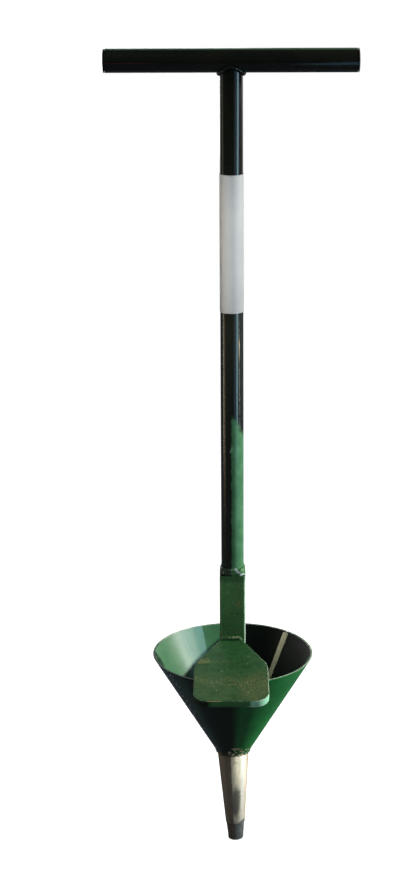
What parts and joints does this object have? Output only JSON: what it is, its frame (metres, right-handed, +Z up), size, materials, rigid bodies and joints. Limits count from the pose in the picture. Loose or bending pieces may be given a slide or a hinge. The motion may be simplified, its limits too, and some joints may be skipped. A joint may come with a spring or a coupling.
{
  "type": "soil sampling probe",
  "caption": "Hand soil sampling probe with T handle, foot tread, funnel-shaped core collector and tapered hollow cutting probe.",
  "frame": {"origin": "on the shaft's line, level with the lowest point of the probe's cutting edge", "axes": "+Z up along the shaft to the handle, +X along the handle to the right hand, -Y towards the foot tread and the user"},
  "size_m": [0.238, 0.1955, 0.8],
  "materials": {
    "dark_paint": "gloss enamel, near-black green",
    "green_paint": "gloss enamel, green",
    "cone_paint": "gloss enamel, bright green",
    "label_vinyl": "satin film, left bare",
    "worn_steel": "bare, worn by soil",
    "tip_steel": "dark, hardened",
    "bare_seam": "dull, as welded"
  },
  "bodies": {
    "root": {"handle_tube": "dark_paint", "handle_plug_left": "dark_paint", "handle_plug_right": "dark_paint", "saddle_weld": "dark_paint", "shaft_tube": "dark_paint", "label_sleeve": "label_vinyl", "socket_weld": "green_paint", "socket_tube": "green_paint", "tread_root_weld": "green_paint", "tread_under_weld": "green_paint", "foot_tread": "green_paint", "lip_weld_outer": "cone_paint", "lip_weld_inner": "cone_paint", "collecting_cone": "cone_paint", "cone_seam_weld": "bare_seam", "neck_weld": "cone_paint", "probe_tube": "worn_steel", "cutting_tip": "tip_steel"}
  },
  "joints": []
}
